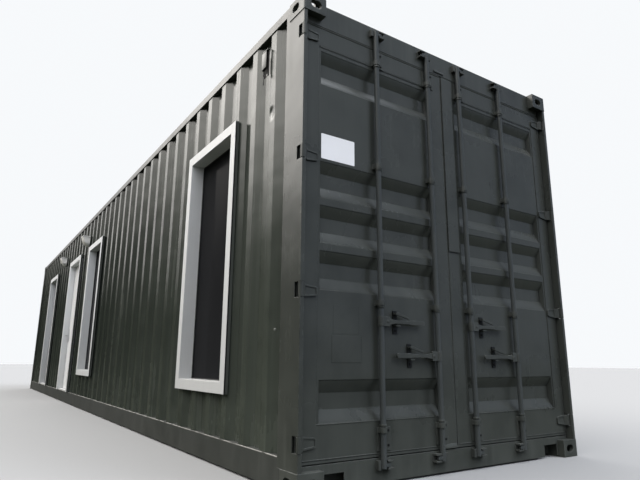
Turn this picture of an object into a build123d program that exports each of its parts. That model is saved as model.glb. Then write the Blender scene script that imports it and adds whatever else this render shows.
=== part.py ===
"""Shipping container cabin: a 40 ft high-cube container with windows and doors let into one long side.

Frame: origin at the bottom centre, +Z up, +X towards the cargo doors, -Y the side with the windows.
"""

import math
import os
from collections import namedtuple

from build123d import *

# Overall envelope, over the corner castings
length = 12192.0
width = 2438.0
height = 2896.0

# Corner castings and their apertures
casting_length = 178.0
casting_width = 162.0
casting_height = 118.0
casting_wall = 28.0
aperture_inset_x = 103.5
aperture_inset_y = 89.5
casting_chamfer = 5.0
aperture_length = 124.5
aperture_width = 63.5
side_aperture_length = 79.5
side_aperture_width = 51.0

# Sheet and plate
skin_inset = 4.0
crest_inset = 10.0
plate = 6.0
joint_gap = 0.3
swing_gap = 5.0

# Corner posts
door_post_length = 216.0
door_post_lip = 28.0
door_post_width = 49.0
door_post_step = 110.0
blind_post_width = 104.0
blind_post_return = 50.0

# Rails and floor
top_rail = 60.0
top_rail_inset = 6.0
bottom_rail_low = 12.0
bottom_rail_high = 174.0
bottom_rail_web = 4.5
bottom_rail_top_flange = 48.0
bottom_rail_low_flange = 30.0
deck_top = 188.0
deck_thickness = 28.0
cross_member_height = 122.0
cross_member_flange = 45.0
cross_member_web = 4.0
cross_member_count = 20
cross_member_spacing = 580.0

# Door end
end_frame_inset = 50.0
header_drop = 161.0
header_depth = 88.0
sill_top = 140.0
sill_depth = 88.0
sill_notch_width = 150.0
sill_notch_height = 90.0
sill_notch_start = 14.0

# Cargo door leaves
door_face_inset = 54.0
leaf_thickness = 50.0
leaf_edge = 46.0
leaf_half_gap = 8.5
leaf_bottom = 160.0
leaf_head_gap = 15.0
stile_width = 100.0
tube_wall = 4.0
top_member = 120.0
bottom_member = 180.0
panel_inset = 4.0
door_sheet = 2.0
recess_depth = 34.0
recess_slope = 68.0
recess_end_slope = 9.0
recess_height = 226.0
recess_heights = (457.0, 1178.0, 1450.0, 1723.0)
recess_drop = 266.0
recess_outer_margin = 17.0
recess_inner_margin = 25.0
gasket_reach = 9.0
gasket_foot_reach = 14.0
gasket_meeting_reach = 5.0
gasket_thickness = 8.0

# Hinges
pin_inset = 14.0
pin_radius = 8.0
hinge_play = 0.1
knuckle_radius = 14.0
hinge_count = 4
hinge_foot = 92.0
hinge_head = 73.0
knuckle_height = 80.0
knuckle_gap = 2.0
notch_depth = 66.0
lug_thickness = 12.0
blade_back = 8.0
blade_thickness = 10.0
blade_reach = 96.0
blade_tip_height = 50.0
blade_rib = 8.0
blade_pocket = 4.0
blade_bend = 14.0
blade_corner = 14.0

# Lock rods
rod_radius = 17.0
rod_stand = 26.0
rod_inner = 161.0
rod_outer = 632.0
rod_low_end = 84.0
rod_end_drop = 44.0
bracket_heights = (1013.5, 1881.5)
bracket_height = 33.0
head_bracket_height = 120.0
head_bracket_margin = 6.0
foot_bracket_height = 130.0
foot_bracket_margin = 15.0
bracket_play = 0.4
bracket_strap = 6.0
bracket_ring = 30.0
bracket_heel = 28.0
bracket_flange = 75.0
bracket_short_flange = 50.0
cam_length = 44.0
cam_centre = 20.0
cam_thickness = 20.0
cam_nose = 46.0
cam_root_width = 24.0
cam_tip_width = 16.0
keeper_back = 4.0
keeper_plate = 10.0
keeper_width = 44.0
keeper_reach = 36.0
guard_width = 18.0
guard_reach = 26.0
guard_height = 50.0

# Lock handles
handle_high = 905.0
handle_low = 706.0
handle_length = 354.0
handle_grip = 28.0
handle_root = 36.0
handle_neck = 20.0
handle_thickness = 12.0
handle_taper = 112.0
handle_shoulder = 215.0
handle_swell = 245.0
hub_height = 58.0
hub_radius = 20.5
hub_reach = 62.0
hub_thickness = 20.0
catch_near = 131.0
catch_far = 229.0
catch_height = 140.0
catch_width = 34.0
catch_ledge = 8.0
pawl_reach = 88.0
pawl_rise = 38.0
pawl_depth = 12.0
pawl_thickness = 10.0

# Centre cover strip
strip_width = 105.0
strip_thickness = 8.0
strip_bottom = 1410.0
strip_start = 3.0

# Corrugations
Wave = namedtuple("Wave", "pitch crest slope depth sheet centre")
side_wave = Wave(pitch=278.0, crest=72.0, slope=68.0, depth=36.0, sheet=2.0, centre=139.0)
end_wave_count = 9
end_crest = 110.0
end_slope = 18.0
end_depth = 45.6
roof_wave_count = 57
roof_crest = 91.0
roof_slope = 13.5
roof_depth = 20.0
roof_sheet = 2.0
roof_plate = 3.0

# Openings in the long side: centre along X and clear width
window_centres = (4720.0, 295.0)
window_clear = 800.0
window_low = 530.0
doorway_centre = -1380.0
doorway_clear = 900.0
glazed_centre = -3900.0
glazed_clear = 900.0
opening_drop = 591.0
casing_width = 75.0
casing_proud = 20.0
reveal_board = 20.0
reveal_depth = 124.0
cut_clearance = 3.0
pane_setback = 112.0
pane_thickness = 6.0

# Cabin door
cabin_leaf_thickness = 40.0
cabin_leaf_setback = 90.0
cabin_leaf_gap = 5.0
threshold_top = 194.0
cabin_hinge_radius = 7.0
cabin_hinge_pin = 3.5
cabin_hinge_height = 100.0
cabin_hinge_places = (450.0, 1250.0, 2050.0)
cabin_handle_height = 1080.0
cabin_handle_backset = 60.0
cabin_handle_neck = 9.0
cabin_handle_reach = 56.0
cabin_lever_length = 130.0
cabin_lever_height = 20.0
cabin_lever_thickness = 16.0
cabin_plate_width = 40.0
cabin_plate_height = 220.0
cabin_plate_thickness = 8.0
cabin_flap = 3.0
cabin_flap_width = 40.0
cabin_knuckle_play = 2.0

# Wall lamps and ventilator
lamp_width = 150.0
lamp_height = 165.0
lamp_reach = 105.0
lamp_rim = 14.0
lamp_lip = 5.0
lamp_drop = 240.0
lamp_places = (-417.0, -2641.0)
vent_drop = 101.0
vent_height = 190.0
vent_broken = 70.0
vent_width = 146.0
vent_place = 335.0
vent_reach = 26.0
vent_sheet = 3.0
vent_tab_width = 22.0
vent_tab_drop = 60.0

# Planes that several pieces share
half_length = length / 2
half_width = width / 2
post_face = half_width - skin_inset
crest_face = half_width - crest_inset
end_frame_face = half_length - end_frame_inset
header_bottom = height - header_drop
header_back = end_frame_face - header_depth
sill_back = end_frame_face - sill_depth
door_wall_end = half_length - door_post_length
blind_wall_end = -half_length + casting_length
casting_inner_y = half_width - casting_width
casting_inner_x = half_length - casting_length
post_inner_y = half_width - door_post_width
top_rail_high = height - top_rail_inset
top_rail_low = top_rail_high - top_rail
opening_head = height - opening_drop
top_rail_inner_y = post_face - top_rail
door_face = half_length - door_face_inset
leaf_back = door_face - leaf_thickness
leaf_outer_y = half_width - leaf_edge
leaf_top = header_bottom - leaf_head_gap
panel_face = door_face - panel_inset
pin_x = half_length - pin_inset
pin_y = half_width - pin_inset
rod_x = door_face + rod_stand
rod_top = height - rod_end_drop
cam_levels = (rod_low_end + cam_centre, rod_top - cam_centre)
hinge_first = leaf_bottom + hinge_foot
hinge_last = leaf_top - hinge_head
hinge_step = (hinge_last - hinge_first) / (hinge_count - 1)
hinge_heights = [hinge_first + hinge_step * n for n in range(hinge_count)]

os.makedirs("parts", exist_ok=True)


def box(x, y, z):
    """A block between pairs of limits."""
    (x0, x1), (y0, y1), (z0, z1) = sorted(x), sorted(y), sorted(z)
    return Pos((x0 + x1) / 2, (y0 + y1) / 2, (z0 + z1) / 2) * Box(x1 - x0, y1 - y0, z1 - z0)


def upright(points, low, high):
    """A plan outline raised from low to high."""
    face = make_face(Polyline(*points, close=True))
    return extrude(Pos(0, 0, low) * face, amount=high - low, dir=(0, 0, 1))


def along_x(points, low, high):
    """A (y, z) outline drawn out from x = low to x = high."""
    face = make_face(Polyline(*[(low, y, z) for y, z in points], close=True))
    return extrude(face, amount=high - low, dir=(1, 0, 0))


def along_y(points, low, high):
    """An (x, z) outline drawn out from y = low to y = high."""
    face = make_face(Polyline(*[(x, low, z) for x, z in points], close=True))
    return extrude(face, amount=high - low, dir=(0, 1, 0))


def other_side(shape):
    """The same piece on the opposite long side."""
    return mirror(shape, about=Plane.XZ)


def other_end(shape):
    """The same piece at the opposite end."""
    return mirror(shape, about=Plane.YZ)


def save(name, *pieces):
    """One STEP file for one named node."""
    solids = [solid for piece in pieces for solid in piece.solids()]
    export_step(solids[0] if len(solids) == 1 else Compound(children=solids), f"parts/{name}.step")


# Corner castings


def corner_casting():
    """Hollow cast corner at -X, -Y, bottom, with an oval hole in each outer face."""
    x0 = -half_length
    y0 = -half_width
    block = box((x0, x0 + casting_length), (y0, y0 + casting_width), (0, casting_height))
    outer_upright = block.edges().filter_by(Axis.Z).sort_by(Axis.X)[:2].sort_by(Axis.Y)[:1]
    block = chamfer(outer_upright, casting_chamfer)
    cavity = box(
        (x0 + casting_wall, x0 + casting_length - casting_wall / 2),
        (y0 + casting_wall, y0 + casting_width - casting_wall / 2),
        (casting_wall, casting_height - casting_wall / 2),
    )
    hole_x = x0 + aperture_inset_x
    hole_y = y0 + aperture_inset_y
    middle = casting_height / 2
    below = Plane((hole_x, hole_y, 0)) * SlotOverall(aperture_length, aperture_width)
    beside = Plane((hole_x, y0, middle), x_dir=(1, 0, 0), z_dir=(0, 1, 0))
    beyond = Plane((x0, hole_y, middle), x_dir=(0, 1, 0), z_dir=(1, 0, 0))
    side_slot = SlotOverall(side_aperture_length, side_aperture_width)
    block -= cavity
    block -= extrude(below, amount=casting_wall)
    block -= extrude(beside * side_slot, amount=casting_wall)
    block -= extrude(beyond * side_slot, amount=casting_wall)
    return block


def all_corners(shape):
    """A bottom corner piece repeated at all eight corners."""
    lower = [shape, other_end(shape), other_side(shape), other_end(other_side(shape))]
    upper = [mirror(piece, about=Plane.XY.offset(height / 2)) for piece in lower]
    return lower + upper


save("corner_castings", *all_corners(corner_casting()))


# Corner posts


def door_end_post():
    """J-shaped hollow post at the -Y side, with a pin between two lugs in each hinge notch."""

    def plan(inset):
        far = door_post_length - inset
        shelf = door_post_step + inset
        skin = skin_inset + inset
        lip = door_post_lip - inset
        deep = door_post_width - inset
        corners = ((skin, skin), (skin, lip), (shelf, lip), (shelf, deep), (far, deep), (far, skin))
        return [(half_length - u, v - half_width) for u, v in corners]

    low = casting_height
    high = height - casting_height
    post = upright(plan(0), low, high) - upright(plan(plate), low, high)
    post += box(
        (casting_inner_x, door_wall_end),
        (-post_face, -post_face + plate),
        (high, top_rail_low),
    )
    front = (half_length - notch_depth, half_length - skin_inset)
    across = (-post_face, -half_width + door_post_lip)
    half_notch = knuckle_height / 2 + knuckle_gap
    for centre in hinge_heights:
        reach = half_notch + lug_thickness
        post += box(front, across, (centre - reach, centre + reach))
        post -= box(front, across, (centre - half_notch, centre + half_notch))
        post += Pos(pin_x, -pin_y, centre) * Cylinder(pin_radius, 2 * half_notch)
    return post


def blind_end_post():
    """Folded hollow post at the -Y side of the blind end."""

    def plan(inset):
        near = skin_inset + inset
        far = casting_length - inset
        wide = blind_post_width - inset
        narrow = blind_post_return - inset
        corners = ((near, near), (near, wide), (blind_post_return + inset, wide), (far, narrow), (far, near))
        return [(-half_length + u, v - half_width) for u, v in corners]

    low = casting_height
    high = height - casting_height
    return upright(plan(0), low, high) - upright(plan(plate), low, high)


door_post = door_end_post()
save("door_end_posts", door_post, other_side(door_post))
blind_post = blind_end_post()
save("blind_end_posts", blind_post, other_side(blind_post))


# Rails


def bottom_side_rail():
    """Channel open to the inside, run on below the door post."""
    outer = -post_face
    web = bottom_rail_web
    section = [
        (outer, bottom_rail_low),
        (outer + bottom_rail_low_flange, bottom_rail_low),
        (outer + bottom_rail_low_flange, bottom_rail_low + web),
        (outer + web, bottom_rail_low + web),
        (outer + web, bottom_rail_high - web),
        (outer + bottom_rail_top_flange, bottom_rail_high - web),
        (outer + bottom_rail_top_flange, bottom_rail_high),
        (outer, bottom_rail_high),
    ]
    rail = along_x(section, blind_wall_end, casting_inner_x)
    post_foot = box(
        (door_wall_end, casting_inner_x),
        (outer, outer + bottom_rail_top_flange),
        (casting_height, bottom_rail_high),
    )
    return rail - post_foot


def top_side_rail():
    """Square tube between the top castings."""
    section = box(
        (-casting_inner_x, casting_inner_x),
        (-post_face, -top_rail_inner_y),
        (top_rail_low, top_rail_high),
    )
    bore = box(
        (-casting_inner_x, casting_inner_x),
        (-post_face + tube_wall, -top_rail_inner_y - tube_wall),
        (top_rail_low + tube_wall, top_rail_high - tube_wall),
    )
    return section - bore


def blind_end_rail(low, high):
    """Square tube across the blind end, between castings."""
    x0 = -half_length + skin_inset
    outer = box((x0, x0 + top_rail), (-casting_inner_y, casting_inner_y), (low, high))
    bore = box(
        (x0 + tube_wall, x0 + top_rail - tube_wall),
        (-casting_inner_y, casting_inner_y),
        (low + tube_wall, high - tube_wall),
    )
    return outer - bore


bottom_rail = bottom_side_rail()
save("bottom_rails", bottom_rail, other_side(bottom_rail), blind_end_rail(bottom_rail_low, casting_height))
top_side = top_side_rail()
save("top_rails", top_side, other_side(top_side), blind_end_rail(top_rail_low, top_rail_high))


# Door header and sill


def door_header():
    """Box beam between the top castings, with a shelf below them that meets the posts."""
    beam = box(
        (header_back, end_frame_face),
        (-casting_inner_y, casting_inner_y),
        (header_bottom, top_rail_high),
    )
    shelf = box(
        (header_back, end_frame_face),
        (-post_inner_y, post_inner_y),
        (header_bottom, height - casting_height),
    )
    bore = box(
        (header_back + plate, end_frame_face - plate),
        (-casting_inner_y, casting_inner_y),
        (header_bottom + plate, top_rail_high - plate),
    )
    return beam + shelf - bore


def door_sill():
    """Threshold folded from plate, open below, run over the castings and cut away in front beside them."""
    between = (-casting_inner_y, casting_inner_y)
    shell = box((sill_back, end_frame_face), between, (bottom_rail_low, sill_top))
    wings = box((sill_back, end_frame_face), (-post_inner_y, post_inner_y), (casting_height, sill_top))
    hollow = box(
        (sill_back + plate, end_frame_face - plate),
        between,
        (bottom_rail_low, sill_top - plate),
    )
    step = box((sill_back, sill_back + plate), between, (sill_top, deck_top))
    sill = shell + wings + step - hollow
    for side in (-1, 1):
        start = side * (casting_inner_y - sill_notch_start)
        end = start - side * sill_notch_width
        sill -= box(
            (end_frame_face - plate, end_frame_face),
            (start, end),
            (bottom_rail_low, sill_notch_height),
        )
    return sill


save("door_header", door_header())
save("door_sill", door_sill())


# Floor


def cross_member(x):
    """Channel across the base, between the webs of the bottom rails."""
    top = deck_top - deck_thickness
    low = top - cross_member_height
    web = cross_member_web
    flange = cross_member_flange
    section = [
        (x, low),
        (x + flange, low),
        (x + flange, low + web),
        (x + web, low + web),
        (x + web, top - web),
        (x + flange, top - web),
        (x + flange, top),
        (x, top),
    ]
    reach = post_face - bottom_rail_web
    return along_y(section, -reach, reach)


first_member = -cross_member_spacing * (cross_member_count - 1) / 2
save(
    "cross_members",
    *[cross_member(first_member + cross_member_spacing * n) for n in range(cross_member_count)],
)

deck_reach = post_face - bottom_rail_top_flange
deck_levels = (deck_top - deck_thickness, deck_top)
blind_deck_end = -half_length + skin_inset + top_rail
deck = box((blind_wall_end, sill_back), (-deck_reach, deck_reach), deck_levels)
deck += box((blind_deck_end, blind_wall_end), (-casting_inner_y, casting_inner_y), deck_levels)
save("floor_deck", deck)


# Corrugated sheet


def wave_line(low, high, wave, inner):
    """Points (along, depth) of one face of a corrugated sheet between two stations."""
    angle = math.atan2(wave.depth, wave.slope)
    bend = wave.sheet * math.tan(angle / 2) if inner else 0.0
    half = wave.crest / 2 - bend
    base = wave.sheet if inner else 0.0

    def depth(s):
        away = abs((s - wave.centre + wave.pitch / 2) % wave.pitch - wave.pitch / 2)
        return base + wave.depth * min(max((away - half) / wave.slope, 0.0), 1.0)

    stations = {low, high}
    first = math.floor((low - wave.centre) / wave.pitch) - 1
    last = math.ceil((high - wave.centre) / wave.pitch) + 1
    for k in range(first, last + 1):
        for offset in (-half - wave.slope, -half, half, half + wave.slope):
            station = wave.centre + k * wave.pitch + offset
            if low < station < high:
                stations.add(station)
    return [(s, depth(s)) for s in sorted(stations)]


def wave_outline(low, high, wave):
    """Closed (along, depth) outline of a corrugated sheet."""
    return wave_line(low, high, wave, False) + wave_line(low, high, wave, True)[::-1]


def side_sheet(x0, x1, z0, z1):
    """Vertical corrugations in the -Y side."""
    points = [(s, -crest_face + d) for s, d in wave_outline(x0, x1, side_wave)]
    return upright(points, z0, z1)


def roof_pieces():
    """Shallow corrugations across the roof, and a flat plate between the castings at each end."""
    top = top_rail_high
    reach = casting_inner_x - joint_gap
    wave = Wave(2 * reach / roof_wave_count, roof_crest, roof_slope, roof_depth, roof_sheet, reach)
    points = [(s, top - d) for s, d in wave_outline(-reach, reach, wave)]
    sheet = along_y(points, -top_rail_inner_y, top_rail_inner_y)
    across = (-casting_inner_y, casting_inner_y)
    thickness = (top - roof_plate, top)
    blind_plate = box((-half_length + skin_inset + top_rail, -casting_inner_x), across, thickness)
    door_plate = box((casting_inner_x, header_back), across, thickness)
    return sheet, blind_plate, door_plate


def blind_end_sheet():
    """Deep vertical corrugations of the blind end."""
    reach = half_width - blind_post_width
    x0 = -half_length + crest_inset
    wave = Wave(2 * reach / end_wave_count, end_crest, end_slope, end_depth, side_wave.sheet, reach)
    points = [(x0 + d, s) for s, d in wave_outline(-reach, reach, wave)]
    sheet = upright(points, casting_height, top_rail_low)
    for side in (-1, 1):
        sheet -= box(
            (-half_length, -casting_inner_x),
            (side * casting_inner_y, side * half_width),
            (height - casting_height, height),
        )
    return sheet


save("roof_panel", *roof_pieces())
save("back_wall", other_side(side_sheet(blind_wall_end, door_wall_end, bottom_rail_high, top_rail_low)))
save("blind_end_wall", blind_end_sheet())


# The long side with the openings

Opening = namedtuple("Opening", "centre clear low")
wall_cut_margin = reveal_board + cut_clearance
openings = [
    Opening(window_centres[0], window_clear, window_low),
    Opening(window_centres[1], window_clear, window_low),
    Opening(doorway_centre, doorway_clear, None),
    Opening(glazed_centre, glazed_clear, None),
]


def cut_span(opening):
    """Limits along X of the hole cut in the sheet."""
    half = opening.clear / 2 + wall_cut_margin
    return opening.centre - half, opening.centre + half


def bay_spans():
    """Stretches of full-height sheet between the cuts."""
    edges = [door_wall_end]
    for opening in openings:
        low, high = cut_span(opening)
        edges += [high, low]
    edges.append(blind_wall_end)
    return [(edges[n + 1], edges[n]) for n in range(0, len(edges), 2)]


bays = [side_sheet(x0, x1, bottom_rail_high, top_rail_low) for x0, x1 in bay_spans()]
save("side_wall_bays", *bays)

over = [side_sheet(*cut_span(o), opening_head + wall_cut_margin, top_rail_low) for o in openings]
under = [side_sheet(*cut_span(o), bottom_rail_high, o.low - wall_cut_margin) for o in openings[:2]]
save("side_wall_infills", *over, *under)


# Surrounds: a casing on the crests and a reveal board through the wall

casing_front = -half_width - casing_proud
reveal_back = casing_front + reveal_depth
pane_front = casing_front + pane_setback


def ring(x, y, z, frame):
    """A rectangular frame round the clear opening x, z, drawn out over y."""
    outer = box((x[0] - frame, x[1] + frame), y, (z[0] - frame, z[1] + frame))
    return outer - box(x, y, z)


def window_surround(opening):
    """Box trim of a window: casing ring and reveal ring in one."""
    x = (opening.centre - opening.clear / 2, opening.centre + opening.clear / 2)
    z = (opening.low, opening_head)
    casing = ring(x, (casing_front, -crest_face), z, casing_width)
    return casing + ring(x, (-crest_face, reveal_back), z, reveal_board)


def portal(x, y, low, frame):
    """Two jambs and a head round a clear opening that stands on the rail."""
    outer = box((x[0] - frame, x[1] + frame), y, (low, opening_head + frame))
    return outer - box(x, y, (low, opening_head))


def doorway_surround(opening):
    """Box trim of a full-height opening, open at the foot."""
    x = (opening.centre - opening.clear / 2, opening.centre + opening.clear / 2)
    casing = portal(x, (casing_front, -crest_face), bottom_rail_high, casing_width)
    return casing + portal(x, (-crest_face, reveal_back), deck_top, reveal_board)


def doorway_pieces(opening):
    """The doorway trim as two jambs and a head, butted with a hairline joint."""
    whole = doorway_surround(opening)
    half = opening.clear / 2
    far = opening.clear
    x = opening.centre
    high = opening_head + casing_width
    left = whole & box((x - far, x - half), (-half_width * 2, 0), (0, high))
    right = whole & box((x + half, x + far), (-half_width * 2, 0), (0, high))
    reach = half - joint_gap
    head = whole & box((x - reach, x + reach), (-half_width * 2, 0), (opening_head, high))
    return left, right, head


def threshold(opening):
    """Stepped board over the rail flange and the edge of the deck."""
    half = opening.clear / 2
    x = (opening.centre - half, opening.centre + half)
    foot = box(x, (-post_face, -deck_reach), (bottom_rail_high, threshold_top))
    tread = box(x, (-deck_reach, reveal_back), (deck_top, threshold_top))
    return foot + tread


save("window_surrounds", *[window_surround(o) for o in openings[:2]], doorway_surround(openings[3]))
save("doorway_surround", *doorway_pieces(openings[2]))
save("thresholds", threshold(openings[2]), threshold(openings[3]))


def pane(opening):
    """Glass across the clear opening."""
    half = opening.clear / 2
    low = threshold_top if opening.low is None else opening.low
    return box(
        (opening.centre - half, opening.centre + half),
        (pane_front, pane_front + pane_thickness),
        (low, opening_head),
    )


save("window_panes", pane(openings[0]), pane(openings[1]), pane(openings[3]))


# Cabin door, hung at its +X edge and opening inwards

cabin_leaf_front = casing_front + cabin_leaf_setback
cabin_leaf_back = cabin_leaf_front + cabin_leaf_thickness
cabin_leaf_right = doorway_centre + doorway_clear / 2 - cabin_leaf_gap
cabin_leaf_left = doorway_centre - doorway_clear / 2 + cabin_leaf_gap
cabin_pin_x = doorway_centre + doorway_clear / 2
cabin_pin_y = cabin_leaf_back + cabin_hinge_radius + cabin_knuckle_play


def cabin_leaf():
    """Flush steel-faced leaf."""
    return box(
        (cabin_leaf_left, cabin_leaf_right),
        (cabin_leaf_front, cabin_leaf_back),
        (threshold_top + cabin_leaf_gap, opening_head - cabin_leaf_gap),
    )


save("cabin_door_leaf", cabin_leaf())


def cabin_handle():
    """Back plate and lever, outside and inside."""
    x = cabin_leaf_left + cabin_handle_backset
    z = cabin_handle_height
    lever_half = cabin_lever_height / 2
    pieces = []
    for face, way in ((cabin_leaf_front, -1), (cabin_leaf_back, 1)):
        handle = box(
            (x - cabin_plate_width / 2, x + cabin_plate_width / 2),
            (face, face + way * cabin_plate_thickness),
            (z - cabin_plate_height / 2, z + cabin_plate_height / 2),
        )
        tip = face + way * cabin_handle_reach
        neck = Cylinder(cabin_handle_neck, cabin_handle_reach)
        handle += Pos(x, (face + tip) / 2, z) * Rot(90, 0, 0) * neck
        handle += box(
            (x - lever_half, x - lever_half + cabin_lever_length),
            (tip - way * cabin_lever_thickness, tip),
            (z - lever_half, z + lever_half),
        )
        pieces.append(handle)
    return pieces


save("cabin_door_handle", *cabin_handle())


def cabin_hinge(centre):
    """Frame half with its pin, and leaf half with its knuckle."""
    third = cabin_hinge_height / 3
    knuckle = third - cabin_knuckle_play
    middle = Pos(cabin_pin_x, cabin_pin_y, centre)
    leaf_half = middle * Cylinder(cabin_hinge_radius, knuckle)
    leaf_half += box(
        (cabin_leaf_right - cabin_flap_width, cabin_pin_x),
        (cabin_leaf_back, cabin_leaf_back + cabin_flap),
        (centre - knuckle / 2, centre + knuckle / 2),
    )
    leaf_half -= middle * Cylinder(cabin_hinge_pin + hinge_play, third)
    frame_half = middle * Cylinder(cabin_hinge_pin, cabin_hinge_height)
    for way in (-1, 1):
        level = centre + way * third
        frame_half += Pos(cabin_pin_x, cabin_pin_y, level) * Cylinder(cabin_hinge_radius, third)
        frame_half += box(
            (cabin_pin_x, cabin_pin_x + reveal_board),
            (reveal_back, cabin_pin_y),
            (level - third / 2, level + third / 2),
        )
    return frame_half, leaf_half


cabin_hinges = [cabin_hinge(centre) for centre in cabin_hinge_places]
save("cabin_hinge_frame_halves", *[pair[0] for pair in cabin_hinges])
save("cabin_hinge_leaf_halves", *[pair[1] for pair in cabin_hinges])


# Wall lamps and ventilator


def crest_near(x):
    """Centre of the crest of the long side nearest to x."""
    return side_wave.centre + side_wave.pitch * round((x - side_wave.centre) / side_wave.pitch)


def wall_lamp(x):
    """Shield-shaped lamp on a crest: flat rim above, belly drawn in to the wall below."""
    back = -crest_face
    front = back - lamp_reach
    top = top_rail_low - lamp_drop
    low = top - lamp_height
    shoulder = top - lamp_rim
    middle = (low + top) / 2
    left = x - lamp_width / 2
    right = x + lamp_width / 2
    swell = (x, front + lamp_reach / 4, middle - lamp_rim)
    belly = ThreePointArc((x, front, shoulder), swell, (x, back, low))
    behind = Polyline((x, back, low), (x, back, shoulder), (x, front, shoulder))
    side_face = make_face([belly, *behind.edges()])
    side_view = extrude(side_face, amount=lamp_width / 2, dir=(1, 0, 0), both=True)
    bottom = ThreePointArc((left, front, middle), (x, front, low), (right, front, middle))
    above = Polyline((right, front, middle), (right, front, top), (left, front, top), (left, front, middle))
    front_view = extrude(make_face([bottom, *above.edges()]), amount=lamp_reach, dir=(0, 1, 0))
    rim = box((left - lamp_lip, right + lamp_lip), (front - lamp_lip, back), (shoulder, top))
    return (side_view & front_view) + rim


save("wall_lamps", *[wall_lamp(crest_near(x)) for x in lamp_places])


def ventilator():
    """Sheet hood over a trough, open below and at its torn +X end, with a bent tab hanging from it."""
    x0 = door_wall_end - vent_place
    x1 = x0 + vent_width
    front = -crest_face - vent_reach
    high = top_rail_low - vent_drop
    low = high - vent_height
    hood = box((x0, x1), (front, -crest_face + side_wave.depth), (low, high))
    hood -= box((x0 + vent_sheet, x1), (front + vent_sheet, 0), (low, high - vent_sheet))
    hood -= along_y([(x1, low), (x1, low + vent_broken), (x0 + vent_width / 2, low)], front, 0)
    wall = [(s, -crest_face + d) for s, d in wave_line(x0, x1, side_wave, False)]
    hood -= upright(wall + [(x1, 0), (x0, 0)], low, high)
    tab = (x0 + vent_tab_width, x0 + 2 * vent_tab_width)
    return hood + box(tab, (front, front + vent_sheet), (low - vent_tab_drop, low))


save("side_ventilator", ventilator())


# Cargo doors. Everything is drawn for the -Y leaf and mirrored for the other.

stile_outer = (-leaf_outer_y, -leaf_outer_y + stile_width)
stile_inner = (-leaf_half_gap - stile_width, -leaf_half_gap)


def open_tube(y, low, high):
    """Upright box section, open at its ends."""
    tube = box((leaf_back, door_face), y, (low, high))
    bore = box(
        (leaf_back + tube_wall, door_face - tube_wall),
        (y[0] + tube_wall, y[1] - tube_wall),
        (low, high),
    )
    return tube - bore


def cross_channel(low, high):
    """Member between the stiles, open to the back."""
    y = (stile_outer[1], stile_inner[0])
    member = box((leaf_back, door_face), y, (low, high))
    hollow = box((leaf_back, door_face - tube_wall), y, (low + tube_wall, high - tube_wall))
    return member - hollow


def leaf_frame():
    """Two stiles and two cross members."""
    frame = open_tube(stile_outer, leaf_bottom, leaf_top)
    frame += open_tube(stile_inner, leaf_bottom, leaf_top)
    frame += cross_channel(leaf_bottom, leaf_bottom + bottom_member)
    frame += cross_channel(leaf_top - top_member, leaf_top)
    return frame


def tapered(x, y, z, slope):
    """Block whose section shrinks by slope on every side from x[0] to x[1]."""
    near = Plane((x[0], sum(y) / 2, sum(z) / 2), x_dir=(0, 1, 0), z_dir=(-1, 0, 0))
    far = Plane((x[1], sum(y) / 2, sum(z) / 2), x_dir=(0, 1, 0), z_dir=(-1, 0, 0))
    w = y[1] - y[0]
    h = z[1] - z[0]
    return loft([near * Rectangle(w, h), far * Rectangle(w - 2 * slope[0], h - 2 * slope[1])])


def leaf_panel():
    """Sheet set back from the frame's face and pressed into five shallow pans."""
    y = (stile_outer[1], stile_inner[0])
    z = (leaf_bottom + bottom_member, leaf_top - top_member)
    sheet = box((panel_face - door_sheet, panel_face), y, z)
    pan_y = (y[0] + recess_outer_margin, y[1] - recess_inner_margin)
    slope = (recess_end_slope, recess_slope)
    floor = panel_face - recess_depth
    fronts = []
    for centre in (*recess_heights, leaf_top - recess_drop):
        pan_z = (centre - recess_height / 2, centre + recess_height / 2)
        back_y = (pan_y[0] - door_sheet, pan_y[1] + door_sheet)
        back_z = (pan_z[0] - door_sheet, pan_z[1] + door_sheet)
        sheet += tapered((panel_face, floor - door_sheet), back_y, back_z, slope)
        fronts.append(tapered((panel_face, floor), pan_y, pan_z, slope))
    for front in fronts:
        sheet -= front
    return sheet


def leaf_gasket():
    """Rubber seal all round the leaf, flush with its face."""
    y = (-leaf_outer_y, -leaf_half_gap)
    z = (leaf_bottom, leaf_top)
    x = (door_face - gasket_thickness, door_face)
    lip_y = (y[0] - gasket_reach, y[1] + gasket_meeting_reach)
    lip_z = (z[0] - gasket_foot_reach, z[1] + gasket_reach)
    return box(x, lip_y, lip_z) - box(x, y, z)


def tongue(y, z, halves):
    """Outline (y, z) that narrows from the first half height to the second."""
    return [(y[0], z - halves[0]), (y[1], z - halves[1]), (y[1], z + halves[1]), (y[0], z + halves[0])]


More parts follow.
